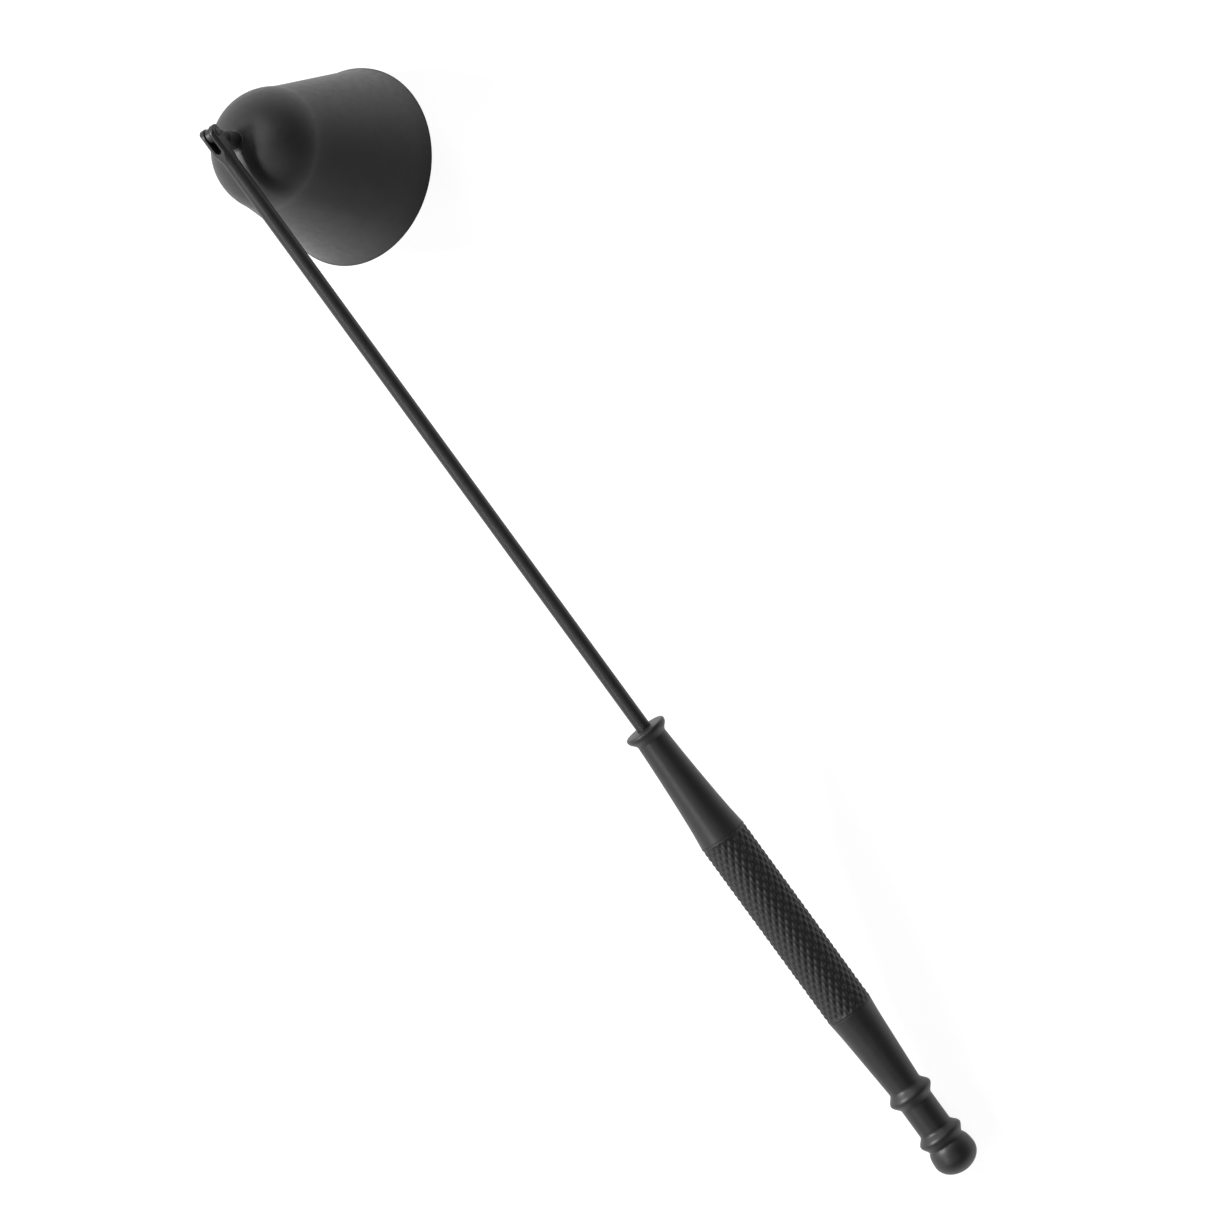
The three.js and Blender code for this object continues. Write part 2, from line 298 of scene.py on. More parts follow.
def plate(side: Sequence[tuple[float, float]], thickness: float) -> bmesh.types.BMesh:
    """Give a flat outline a thickness along the pin.

    Args:
        side: Points of the outline, across and along the turned axis, in order round it.
        thickness: Thickness along the pin, centred on the turned axis.

    Returns:
        The closed plate, in millimetres.
    """
    mesh = bmesh.new()
    near = [mesh.verts.new((x, -thickness / 2, z)) for x, z in side]
    far = [mesh.verts.new((x, thickness / 2, z)) for x, z in side]
    mesh.faces.new(near)
    mesh.faces.new(list(reversed(far)))
    for index in range(len(side)):
        following = (index + 1) % len(side)
        mesh.faces.new((near[index], far[index], far[following], near[following]))
    bmesh.ops.recalc_face_normals(mesh, faces=mesh.faces)
    return mesh


def half_round(centre: tuple[float, float], radius: float, first: float) -> list:
    """Draw a half circle for a plate's outline.

    Args:
        centre: Its centre, across and along the turned axis.
        radius: Its radius.
        first: Angle where it starts, in radians. It turns anticlockwise.

    Returns:
        Its points.
    """
    steps = 24
    angles = (first + math.pi * step / steps for step in range(steps + 1))
    return [(centre[0] + radius * math.cos(a), centre[1] + radius * math.sin(a)) for a in angles]


def cross_bar(radius: float, length: float, height: float) -> bmesh.types.BMesh:
    """Make a plain round bar along the pin, to cut a hole with.

    Args:
        radius: Radius of the bar.
        length: Its length.
        height: Its height along the turned axis.

    Returns:
        The bar, in millimetres.
    """
    mesh = bmesh.new()
    upright = Matrix.Translation((0, 0, height)) @ Matrix.Rotation(math.pi / 2, 4, "X")
    bmesh.ops.create_cone(mesh, cap_ends=True, segments=SLIM_FACETS, radius1=radius,
                          radius2=radius, depth=length, matrix=upright)
    return mesh


def loose_object(name: str, mesh: bmesh.types.BMesh) -> bpy.types.Object:
    """Put a mesh in the scene.

    Args:
        name: Name of the object.
        mesh: Its surface, which is freed.

    Returns:
        The new object.
    """
    data = bpy.data.meshes.new(name)
    mesh.to_mesh(data)
    mesh.free()
    made = bpy.data.objects.new(name, data)
    bpy.context.scene.collection.objects.link(made)
    return made


class Blend:
    """Joins and cuts solids, and softens their edges as a thick coat of paint does."""

    SMOOTHING = 0.5

    def __init__(self, name: str, base: bmesh.types.BMesh) -> None:
        """Start from one solid.

        Args:
            name: Name of the finished object.
            base: The first solid, in millimetres.
        """
        self._made = loose_object(name, base)
        self._tools: list[bpy.types.Object] = []

    def _use(self, tool: bmesh.types.BMesh, operation: str) -> "Blend":
        """Join or cut with another solid.

        Args:
            tool: The other solid.
            operation: What to do with it, in the modifier's words.

        Returns:
            This blend.
        """
        other = loose_object(f"{self._made.name}_tool", tool)
        modifier = self._made.modifiers.new(operation.lower(), "BOOLEAN")
        modifier.operation = operation
        modifier.solver = "EXACT"
        modifier.object = other
        self._tools.append(other)
        return self

    def add(self, tool: bmesh.types.BMesh) -> "Blend":
        """Join another solid on."""
        return self._use(tool, "UNION")

    def cut(self, tool: bmesh.types.BMesh) -> "Blend":
        """Cut another solid away."""
        return self._use(tool, "DIFFERENCE")

    def keep_inside(self, tool: bmesh.types.BMesh) -> "Blend":
        """Keep only what is inside another solid."""
        return self._use(tool, "INTERSECT")

    def soften(self, grain: float, passes: int) -> bpy.types.Object:
        """Remake the surface evenly and smooth its edges.

        Args:
            grain: Size of the new surface's cells, in millimetres.
            passes: How many times it is smoothed.

        Returns:
            The finished object, in millimetres.
        """
        remesh = self._made.modifiers.new("even", "REMESH")
        remesh.mode = "VOXEL"
        remesh.voxel_size = grain
        smooth = self._made.modifiers.new("paint", "SMOOTH")
        smooth.factor = self.SMOOTHING
        smooth.iterations = passes
        settle(self._made)
        for tool in self._tools:
            bpy.data.objects.remove(tool)
        return self._made


def settle(made: bpy.types.Object) -> None:
    """Turn an object's modifiers into its own mesh."""
    graph = bpy.context.evaluated_depsgraph_get()
    finished = bpy.data.meshes.new_from_object(made.evaluated_get(graph))
    made.modifiers.clear()
    made.data = finished


def shade_smooth(made: bpy.types.Object, sharp_angle: float) -> None:
    """Shade an object smoothly, apart from its sharp edges.

    Args:
        made: The object.
        sharp_angle: Angle between faces, in radians, over which an edge stays sharp.
    """
    mesh = bmesh.new()
    mesh.from_mesh(made.data)
    for face in mesh.faces:
        face.smooth = True
    for edge in mesh.edges:
        edge.smooth = len(edge.link_faces) != 2 or edge.calc_face_angle() < sharp_angle
    mesh.to_mesh(made.data)
    mesh.free()


@dataclass(frozen=True)
class Fitting:
    """What a finished piece needs besides its shape."""

    body: Body
    slot: Slot
    replaces: tuple[str, ...]
    sharp_angle: float = math.radians(40)


def fit(
    made: bpy.types.Object, place: TurningFrame, finish: "Finish", fitting: Fitting
) -> bpy.types.Object:
    """Place, shade, dress and register a piece.

    Args:
        made: The piece, in millimetres in its turning frame.
        place: That frame.
        finish: Its surface finish.
        fitting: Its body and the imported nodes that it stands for.

    Returns:
        The piece, in metres in the snuffer's frame.
    """
    made.data.transform(place.matrix())
    shade_smooth(made, fitting.sharp_angle)
    made.data.materials.clear()
    made.data.materials.append(finish.material())
    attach(made, fitting.body.value)
    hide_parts(*fitting.replaces)
    faces = len(made.data.polygons)
    log.info("%s: %d faces, rides on %s", made.name, faces, fitting.body.value)
    return made


class NodeSheet:
    """A short way to lay out a material's nodes."""

    MIDDLE = (0.3, 0.7)

    def __init__(self, name: str) -> None:
        """Make a new material with one principled shader."""
        self.material = bpy.data.materials.new(name)
        self.material.use_nodes = True
        self.tree = self.material.node_tree
        self.shader = self.tree.nodes["Principled BSDF"]
        self.place = self.tree.nodes.new("ShaderNodeTexCoord").outputs["Object"]

    def set(self, **values: float | tuple) -> None:
        """Set the shader's own numbers and colours, with _ for each space in a name."""
        for name, value in values.items():
            self.shader.inputs[name.replace("_", " ")].default_value = value

    def noise(
        self, cells_per_mm: float, detail: float, roughness: float = 0.5
    ) -> bpy.types.NodeSocket:
        """Add an even noise.

        Args:
            cells_per_mm: How fine it is.
            detail: How many finer layers are in it.
            roughness: How strong those are.

        Returns:
            Its value, from 0 to 1.
        """
        node = self.tree.nodes.new("ShaderNodeTexNoise")
        node.inputs["Scale"].default_value = cells_per_mm / MM
        node.inputs["Detail"].default_value = detail
        node.inputs["Roughness"].default_value = roughness
        self.tree.links.new(self.place, node.inputs["Vector"])
        return node.outputs["Fac"]

    def spread(
        self, value: bpy.types.NodeSocket, low: float, high: float
    ) -> bpy.types.NodeSocket:
        """Map the middle of a noise, where most of its values lie, to a range.

        Args:
            value: The noise's value.
            low: What the start of its middle becomes.
            high: What the end of its middle becomes.

        Returns:
            The mapped value.
        """
        node = self.tree.nodes.new("ShaderNodeMapRange")
        node.inputs["From Min"].default_value = self.MIDDLE[0]
        node.inputs["From Max"].default_value = self.MIDDLE[1]
        node.inputs["To Min"].default_value = low
        node.inputs["To Max"].default_value = high
        self.tree.links.new(value, node.inputs["Value"])
        return node.outputs["Result"]

    def mix(
        self, share: bpy.types.NodeSocket, first: tuple, second: tuple
    ) -> bpy.types.NodeSocket:
        """Mix two colours by a share, and return the colour."""
        node = self.tree.nodes.new("ShaderNodeMix")
        node.data_type = "RGBA"
        self.tree.links.new(share, node.inputs["Factor"])
        node.inputs["A"].default_value = first
        node.inputs["B"].default_value = second
        return node.outputs["Result"]

    def bump(self, height: bpy.types.NodeSocket, depth_mm: float, strength: float) -> None:
        """Raise the surface by a value, over any bump already there.

        Args:
            height: The value.
            depth_mm: How deep it is.
            strength: How much of it shows.
        """
        node = self.tree.nodes.new("ShaderNodeBump")
        node.inputs["Distance"].default_value = depth_mm * MM
        node.inputs["Strength"].default_value = strength
        self.tree.links.new(height, node.inputs["Height"])
        normal = self.shader.inputs["Normal"]
        if normal.is_linked:
            self.tree.links.new(normal.links[0].from_socket, node.inputs["Normal"])
        self.tree.links.new(node.outputs["Normal"], normal)

    def feed(self, socket: str, value: bpy.types.NodeSocket) -> None:
        """Link a value to one of the shader's sockets."""
        self.tree.links.new(value, self.shader.inputs[socket])


class Finish:
    """A surface finish, made once and shared by the pieces that have it."""

    def __init__(self) -> None:
        """Start with no material made."""
        self._made: bpy.types.Material | None = None

    def material(self) -> bpy.types.Material:
        """Return the finish's material."""
        if self._made is None:
            self._made = self.draw()
        return self._made

    def draw(self) -> bpy.types.Material:
        """Make the material."""
        raise NotImplementedError


@dataclass(frozen=True)
class PaintLook:
    """Numbers of a satin black powder coat."""

    name: str
    thin: tuple[float, float, float, float] = (0.0075, 0.0075, 0.0079, 1.0)
    thick: tuple[float, float, float, float] = (0.0110, 0.0110, 0.0115, 1.0)
    gloss: tuple[float, float] = (0.43, 0.51)
    grain_mm: float = 0.012
    grain_strength: float = 0.4
    peel_strength: float = 0.6
    cloud_cells: float = 0.25
    grain_cells: float = 9.0
    peel_cells: float = 2.6
    gloss_cells: float = 0.7


class PowderCoat(Finish):
    """Satin black powder coat: a fine grain over a slight orange peel, with faint cloudy tone."""

    def __init__(self, look: PaintLook) -> None:
        """Keep the coat's numbers."""
        super().__init__()
        self._look = look

    def draw(self) -> bpy.types.Material:
        """Make the material."""
        look = self._look
        sheet = NodeSheet(look.name)
        sheet.set(Metallic=0.0, IOR=1.5)
        clouds = sheet.noise(look.cloud_cells, 3.0, 0.6)
        grain = sheet.noise(look.grain_cells, 2.0)
        peel = sheet.noise(look.peel_cells, 2.0)
        sheet.feed("Base Color", sheet.mix(sheet.spread(clouds, 0.0, 1.0), look.thin, look.thick))
        sheet.feed("Roughness", sheet.spread(sheet.noise(look.gloss_cells, 4.0, 0.6), *look.gloss))
        sheet.bump(peel, look.grain_mm, look.peel_strength)
        sheet.bump(grain, look.grain_mm, look.grain_strength)
        return sheet.material


@dataclass(frozen=True)
class SteelLook:
    """Numbers of a bright zinc-plated fastening."""

    name: str = "bright_zinc"
    dark: tuple[float, float, float, float] = (0.42, 0.43, 0.45, 1.0)
    light: tuple[float, float, float, float] = (0.60, 0.61, 0.62, 1.0)
    gloss: tuple[float, float] = (0.22, 0.38)
    cloud_cells: float = 0.9
    gloss_cells: float = 2.0
    pit_cells: float = 7.0
    pit_mm: float = 0.01
    pit_strength: float = 0.3


class BrightZinc(Finish):
    """Zinc-plated steel: a cloudy plate with fine pits."""

    def __init__(self, look: SteelLook) -> None:
        """Keep the plate's numbers."""
        super().__init__()
        self._look = look

    def draw(self) -> bpy.types.Material:
        """Make the material."""
        look = self._look
        sheet = NodeSheet(look.name)
        sheet.set(Metallic=1.0)
        clouds = sheet.noise(look.cloud_cells, 4.0, 0.6)
        sheet.feed("Base Color", sheet.mix(sheet.spread(clouds, 0.0, 1.0), look.dark, look.light))
        sheet.feed("Roughness", sheet.spread(sheet.noise(look.gloss_cells, 3.0), *look.gloss))
        sheet.bump(sheet.noise(look.pit_cells, 2.0), look.pit_mm, look.pit_strength)
        return sheet.material


@dataclass
class BellAssembly:
    """The bell, the lug on its crown, and the screw and washer inside. Heights from the mouth."""

    place: TurningFrame
    paint: Finish
    steel: Finish
    mouth_r: float = 19.36
    flare_height: float = 3.6
    flare_r: float = 18.25
    skirt_top_height: float = 20.0
    skirt_top_r: float = 13.75
    crown_r: float = 12.3
    crown_start: float = math.radians(8)
    crown_top: float = 36.75
    seat_r: float = 2.2
    wall: float = 1.0
    pin_height: float = 44.0
    post_r: float = 1.7
    post_top: float = 39.95
    shoulder_top: float = 41.05
    shoulder_r: float = 0.7
    tongue_half: float = 1.5
    tongue_root: float = 39.4
    tongue_thickness: float = 1.0
    pin_r: float = 0.78
    screw_r: float = 0.8
    screw_head_r: float = 1.9
    screw_head_height: float = 1.4
    screw_slot: float = 0.6
    washer_r: float = 2.4
    washer_thickness: float = 0.5
    facets: int = 192
    crown_steps: int = 40
    lip_edge: float = 0.12
    lip_fillet: float = 0.2
    crown_hole_clearance: float = 0.3
    seat_gap: float = 0.02
    post_foot_width: float = 0.35
    post_foot_height: float = 0.45
    shoulder_ease: float = 0.1
    lug_grain: float = 0.06
    lug_passes: int = 5
    washer_hole_clearance: float = 0.15
    washer_edge: float = 0.06
    washer_rim_edge: float = 0.12
    screw_face_share: float = 0.6
    screw_dome_share: float = 0.4
    screw_edge: float = 0.1
    screw_past_crown: float = 0.5
    screw_grain: float = 0.07
    screw_passes: int = 2

    def _half_wall(self, outline: Outline, inset: float, downward: bool) -> None:
        """Add the inside or the outside of the bell's wall between its lip and its crown seat.

        Args:
            outline: The outline that it is added to.
            inset: How far inside the outer surface it lies.
            downward: Whether it runs from the crown down.
        """
        side = Outline()
        slope = (self.flare_r - self.skirt_top_r) / (self.skirt_top_height - self.flare_height)
        half_flare = self.flare_height / 2
        radius = self.crown_r - inset
        rise = math.sqrt(self.crown_r**2 - self.seat_r**2)
        centre = self.crown_top - rise
        top_angle = math.asin((rise - inset) / radius)
        start_r = radius * math.cos(self.crown_start)
        start_height = centre + radius * math.sin(self.crown_start)
        crown_slope = math.tan(self.crown_start)
        skirt_at_mouth = self.skirt_top_r - inset + slope * self.skirt_top_height
        gap = skirt_at_mouth - start_r - crown_slope * start_height
        bend_height = gap / (slope - crown_slope)
        bend_r = start_r - crown_slope * (bend_height - start_height)
        side.corner(self.mouth_r - inset, 0.0)
        side.curve((self.flare_r - inset + slope * half_flare, half_flare),
                   (self.flare_r - inset, self.flare_height))
        side.corner(self.skirt_top_r - inset, self.skirt_top_height)
        side.curve((bend_r, bend_height), (start_r, start_height))
        side.arc(centre, radius, self.crown_start, top_angle, self.crown_steps)
        points = side.points()
        for point in reversed(points) if downward else points:
            outline.corner(point.x, point.y)

    def cup(self) -> bpy.types.Object:
        """Build the thin-walled bell with its lip rounded."""
        hole_r = self.screw_r + self.crown_hole_clearance
        wall = Outline()
        wall.corner(self.mouth_r - self.wall / 2, 0.0)
        wall.corner(self.mouth_r - self.lip_edge, 0.0, self.lip_fillet)
        self._half_wall(wall, 0.0, downward=False)
        wall.corner(hole_r, self.crown_top)
        wall.corner(hole_r, self.crown_top - self.wall)
        self._half_wall(wall, self.wall, downward=True)
        wall.corner(self.mouth_r - self.wall / 2, 0.0)
        made = loose_object("bell_shell", turned(wall, self.facets))
        return fit(made, self.place, self.paint, Fitting(Body.BELL, Slot.PAINT, ("bell_cup",)))

    def lug(self) -> bpy.types.Object:
        """Build the lug: a round post, filleted at its foot, with a flat tongue on its end."""
        foot, top = self.crown_top + self.seat_gap, self.post_top
        post = Outline().corner(0.0, foot).corner(self.post_r + self.post_foot_width, foot)
        post.curve((self.post_r, foot), (self.post_r, foot + self.post_foot_height))
        post.corner(self.post_r, top - self.shoulder_ease)
        post.curve((self.post_r, (top + self.shoulder_top) / 2),
                   (self.shoulder_r, self.shoulder_top))
        post.corner(0.0, self.shoulder_top)
        half = self.tongue_half
        tongue = [(half, self.tongue_root)] + half_round((0.0, self.pin_height), half, 0.0)
        tongue.append((-half, self.tongue_root))
        blend = Blend("lug_casting", turned(post, SLIM_FACETS))
        blend.add(plate(tongue, self.tongue_thickness))
        blend.cut(cross_bar(self.pin_r, 4 * self.tongue_thickness, self.pin_height))
        made = blend.soften(self.lug_grain, self.lug_passes)
        return fit(made, self.place, self.paint, Fitting(Body.BELL, Slot.PAINT, ("crown_lug",)))

    def washer(self) -> bpy.types.Object:
        """Build the flat washer inside the crown."""
        top = self.crown_top - self.wall - self.seat_gap
        low, hole_r = top - self.washer_thickness, self.screw_r + self.washer_hole_clearance
        middle, edge = (top + low) / 2, self.washer_edge
        section = Outline().corner(hole_r, middle).corner(hole_r, low, edge)
        section.corner(self.washer_r, low, self.washer_rim_edge).corner(self.washer_r, top, edge)
        section.corner(hole_r, top, edge).corner(hole_r, middle)
        made = loose_object("inner_washer", turned(section, self.facets // 2))
        return fit(made, self.place, self.steel, Fitting(Body.BELL, Slot.STEEL, ("lug_washer",)))

    def screw(self) -> bpy.types.Object:
        """Build the slotted pan-head screw under the washer."""
        seat = self.crown_top - self.wall - self.washer_thickness - 2 * self.seat_gap
        low, tip = seat - self.screw_head_height, self.crown_top + self.screw_past_crown
        dome_end = seat - self.screw_head_height * self.screw_dome_share
        side = Outline().corner(0.0, low).corner(self.screw_head_r * self.screw_face_share, low)
        side.curve((self.screw_head_r, low), (self.screw_head_r, dome_end))
        side.corner(self.screw_head_r, seat, self.screw_edge).corner(self.screw_r, seat)
        side.corner(self.screw_r, tip).corner(0.0, tip)
        slot = bmesh.new()
        size = Matrix.Diagonal((6 * self.screw_head_r, self.screw_slot, 2 * self.screw_slot, 1))
        bmesh.ops.create_cube(slot, size=1.0, matrix=Matrix.Translation((0, 0, low)) @ size)
        blend = Blend("inner_screw", turned(side, SLIM_FACETS)).cut(slot)
        made = blend.soften(self.screw_grain, self.screw_passes)
        return fit(made, self.place, self.steel, Fitting(Body.BELL, Slot.STEEL, ("lug_screw",)))

    def build(self) -> None:
        """Build the whole sub-assembly."""
        self.cup()
        self.lug()
        self.washer()
        self.screw()


@dataclass
class RodAssembly:
    """The rod with its forked end, and the pin through it. Heights are from the pin."""

    place: TurningFrame
    paint: Finish
    rod_r: float = 1.5
    eye_r: float = 1.75
    fork_width: float = 3.3
    slot: float = 1.3
    throat: float = 3.7
    blend_end: float = 7.0
    splice: float = 8.0
    rod_end: float = 246.5
    pin_r: float = 0.78
    pin_proud: float = 0.2
    fork_round: float = 0.35
    neck_ease: float = 1.5
    fork_grain: float = 0.07
    fork_passes: int = 4
    true_start: float = 2.0
    true_length: float = 2.0
    outer_share: float = 0.8
    splice_lap: float = 0.02
    bar_rows: int = 60
    end_ease: float = 0.5
    end_fillet: float = 0.4

    def rod(self) -> bpy.types.Object:
        """Build the rod: a fork shaped from the bar's end, and the plain bar behind it."""
        flank = Outline().corner(self.eye_r, 0.0)
        flank.curve((self.eye_r, self.throat), (self.rod_r, self.blend_end))
        right = [(point.x, point.y) for point in flank.points()] + [(self.rod_r, self.splice)]
        left = [(-x, z) for x, z in reversed(right)]
        side = right + left + half_round((0.0, 0.0), self.eye_r, math.pi)[1:-1]
        bulge_r = self.fork_width / 2 + self.fork_round
        round_bar = Outline().corner(0.0, -2 * self.eye_r).corner(bulge_r, -2 * self.eye_r)
        round_bar.corner(bulge_r, self.throat)
        round_bar.curve((self.rod_r, self.throat + self.neck_ease), (self.rod_r, self.blend_end))
        round_bar.corner(self.rod_r, self.splice).corner(0.0, self.splice)
        blend = Blend("rod_bar", plate(side, self.fork_width))
        blend.keep_inside(turned(round_bar, SLIM_FACETS))
        blend.cut(self._slot_tool()).cut(cross_bar(self.pin_r, 3 * self.fork_width, 0.0))
        made = blend.soften(self.fork_grain, self.fork_passes)
        self._true_up(made)
        start = self.splice - self.splice_lap
        bar = Outline().corner(0.0, start).corner(self.rod_r, start)
        bar.rows(self.splice, self.rod_end - self.end_ease, self.rod_r, self.bar_rows)
        bar.corner(self.rod_r, self.rod_end, self.end_fillet).corner(0.0, self.rod_end)
        whole = bmesh.new()
        whole.from_mesh(made.data)
        plain = loose_object("rod_bar_plain", turned(bar, SLIM_FACETS))
        whole.from_mesh(plain.data)
        whole.to_mesh(made.data)
        whole.free()
        bpy.data.objects.remove(plain)
        return fit(made, self.place, self.paint, Fitting(Body.HANDLE, Slot.PAINT, ("rod",)))

    def _slot_tool(self) -> bmesh.types.BMesh:
        """Return the solid that cuts the fork's slot, with a round throat."""
        half = self.slot / 2
        base = self.throat - half
        arch = half_round((0.0, base), half, 0.0)
        outline = [(half, -3 * self.eye_r)] + arch + [(-half, -3 * self.eye_r)]
        tool = plate(outline, 6 * self.eye_r)
        bmesh.ops.rotate(tool, verts=tool.verts, matrix=Matrix.Rotation(math.pi / 2, 3, "Z"))
        return tool

    def _true_up(self, made: bpy.types.Object) -> None:
        """Bring the smoothed bar behind the fork back to its exact radius."""
        for vertex in made.data.vertices:
            past = vertex.co.z - self.throat - self.true_start
            share = min(1.0, max(0.0, past / self.true_length))
            radius = vertex.co.xy.length
            outer = radius > self.outer_share * self.rod_r
            if share > 0.0 and outer and vertex.co.z < self.splice:
                vertex.co.xy *= 1.0 + share * (self.rod_r / radius - 1.0)

    def pin(self) -> bpy.types.Object:
        """Build the pin, with both ends peened to a low dome."""
        half = self.fork_width / 2
        side = Outline().corner(0.0, -half - self.pin_proud)
        side.curve((self.pin_r, -half - self.pin_proud), (self.pin_r, -half))
        side.corner(self.pin_r, half)
        side.curve((self.pin_r, half + self.pin_proud), (0.0, half + self.pin_proud))
        mesh = turned(side, SLIM_FACETS)
        bmesh.ops.rotate(mesh, verts=mesh.verts, matrix=Matrix.Rotation(math.pi / 2, 3, "X"))
        made = loose_object("pin_rivet", mesh)
        return fit(made, self.place, self.paint, Fitting(Body.HANDLE, Slot.PAINT, ("hinge_pin",)))

    def build(self) -> None:
        """Build the whole sub-assembly."""
        self.rod()
        self.pin()


@dataclass(frozen=True)
class Knurl:
    """A diamond knurl: two families of grooves that wind opposite ways round the grip."""

    start: float
    end: float
    around: int = 20
    pitch: float = 2.42
    depth: float = 0.24
    fade: float = 0.7
    crown: float = 1.2
    rows_a_pitch: int = 12

    def relief(self, angle: float, height: float) -> float:
        """Give the depth pressed into the grip's crest.

        Args:
            angle: Angle round the grip, in radians.
            height: Place along the grip.

        Returns:
            The depth, in millimetres.
        """
        edge = min(height - self.start, self.end - height)
        if edge <= 0.0:
            return 0.0
        turn = self.around * angle / math.tau
        climb = (height - self.start) / self.pitch
        point = abs(math.sin(math.pi * (turn + climb)) * math.sin(math.pi * (turn - climb)))
        return self.depth * min(1.0, edge / self.fade) * (1.0 - point**self.crown)


@dataclass
class HandleAssembly:
    """The turned handle on the rod's end. Heights from the pin along the rod."""

    place: TurningFrame
    paint: Finish
    shade_darkened_grip_paint: Finish
    bore_r: float = 1.53
    collar_r: float = 4.4
    collar_rim: float = 1.1
    taper_start: float = 145.8
    taper_start_r: float = 3.2
    grip_shoulder: float = 3.4
    rear_taper_end_r: float = 3.5
    bead_1_start: float = 230.6
    bead_1_end: float = 234.8
    bead_r: float = 4.68
    neck_r: float = 3.48
    bead_2_start: float = 240.9
    bead_2_end: float = 244.7
    notch_r: float = 3.85
    ball_centre: float = 247.7
    ball_r: float = 4.58
    tip_clear: float = 0.03
    seam: float = 0.03
    facets: int = 128
    bead_steps: int = 14
    ball_steps: int = 32
    bore_edge: float = 0.1
    face_width: float = 0.9
    face_fillet: float = 0.3
    collar_bevel: float = 0.12
    collar_front_fillet: float = 0.5
    collar_back_drop: float = 0.1
    collar_back_fillet: float = 0.45
    neck_ease: float = 0.4
    taper_swell: float = 0.5
    taper_bend: float = 12.0
    grip_shoulder_drop: float = 0.45
    grip_end_drop: float = 0.06
    grip_end_fillet: float = 0.12
    knurl_margin: float = 0.15
    crest_edge: float = 0.08
    rear_shoulder: float = 3.6
    rear_shoulder_drop: float = 0.42
    rear_shoulder_fillet: float = 1.5
    blind_depth: float = 4.6
    notch_ease: float = 0.9
    grip_reach: tuple[float, float, float] = field(init=False)

    def __post_init__(self) -> None:
        """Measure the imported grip, which the rest of the handle is set out from."""
        self.grip_reach = self.place.reach("knurled_grip")

    def _bead_side(
        self, outline: Outline, start: tuple[float, float], end: tuple[float, float]
    ) -> None:
        """Add half of a round bead: a smooth step from its foot to its crest, or back.

        Args:
            outline: The outline that it is added to.
            start: Radius and height where it starts.
            end: Radius and height where it ends.
        """
        for step in range(self.bead_steps + 1):
            t = step / self.bead_steps
            share = t * t * (3 - 2 * t)
            radius = start[0] + (end[0] - start[0]) * share
            outline.corner(radius, start[1] + (end[1] - start[1]) * t)

    def front_ferrule(self) -> bpy.types.Object:
        """Build the collar and the taper that widens from it to the grip."""
        front, _, _ = self.place.reach("front_ferrule")
        grip_start, _, grip_r = self.grip_reach
        end = grip_start - self.seam
        back = front + self.collar_rim
        middle = (front + end) / 2
        slim_r, slim_height = self.taper_start_r, self.taper_start
        side = Outline().corner(self.bore_r, middle).corner(self.bore_r, front, self.bore_edge)
        side.corner(self.bore_r + self.face_width, front, self.face_fillet)
        side.corner(self.collar_r, front + self.collar_bevel, self.collar_front_fillet)
        side.corner(self.collar_r - self.collar_back_drop, back, self.collar_back_fillet)
        side.curve((slim_r, slim_height - self.neck_ease), (slim_r, slim_height))
        side.curve((slim_r + self.taper_swell, grip_start - self.taper_bend),
                   (grip_r - self.grip_shoulder_drop, grip_start - self.grip_shoulder))
        side.corner(grip_r - self.grip_end_drop, end, self.grip_end_fillet)
        side.corner(self.bore_r, end).corner(self.bore_r, middle)
        made = loose_object("ferrule_with_collar", turned(side, self.facets))
        fitting = Fitting(Body.HANDLE, Slot.PAINT, ("front_ferrule",))
        return fit(made, self.place, self.paint, fitting)

    def grip(self) -> bpy.types.Object:
        """Build the grip, with its knurling raised in the surface itself."""
        start, end, crest_r = self.grip_reach
        knurl = Knurl(start + self.knurl_margin, end - self.knurl_margin)
        step = knurl.pitch / knurl.rows_a_pitch
        count = int((knurl.end - knurl.start) / step)
        middle = (start + end) / 2
        side = Outline().corner(self.bore_r, middle).corner(self.bore_r, start)
        side.corner(crest_r - self.crest_edge, start)
        side.rows(knurl.start, knurl.start + count * step, crest_r, count)
        side.corner(crest_r - self.crest_edge, end)
        side.corner(self.bore_r, end).corner(self.bore_r, middle)
        facets = knurl.rows_a_pitch * knurl.around
        made = loose_object("grip_knurled", turned(side, facets, knurl.relief))
        fitting = Fitting(Body.HANDLE, Slot.PAINT, ("knurled_grip",))
        # The grip gets the darker paint, whose lower base colour is painted shade for the knurl's hollows.
        return fit(made, self.place, self.shade_darkened_grip_paint, fitting)

    def rear_ferrule(self) -> bpy.types.Object:
        """Build the taper that narrows from the grip, its bead and the neck behind it."""
        _, grip_end, grip_r = self.grip_reach
        start, end = grip_end + self.seam, self.bead_2_start - self.seam
        crest, middle = (self.bead_1_start + self.bead_1_end) / 2, (start + end) / 2
        side = Outline().corner(self.bore_r, middle).corner(self.bore_r, start)
        side.corner(grip_r - self.grip_end_drop, start, self.grip_end_fillet)
        side.corner(grip_r - self.rear_shoulder_drop, grip_end + self.rear_shoulder,
                    self.rear_shoulder_fillet)
        self._bead_side(side, (self.rear_taper_end_r, self.bead_1_start), (self.bead_r, crest))
        self._bead_side(side, (self.bead_r, crest), (self.neck_r, self.bead_1_end))
        side.corner(self.neck_r, end).corner(self.bore_r, end).corner(self.bore_r, middle)
        made = loose_object("ferrule_with_bead", turned(side, self.facets))
        fitting = Fitting(Body.HANDLE, Slot.PAINT, ("rear_ferrule",))
        return fit(made, self.place, self.paint, fitting)

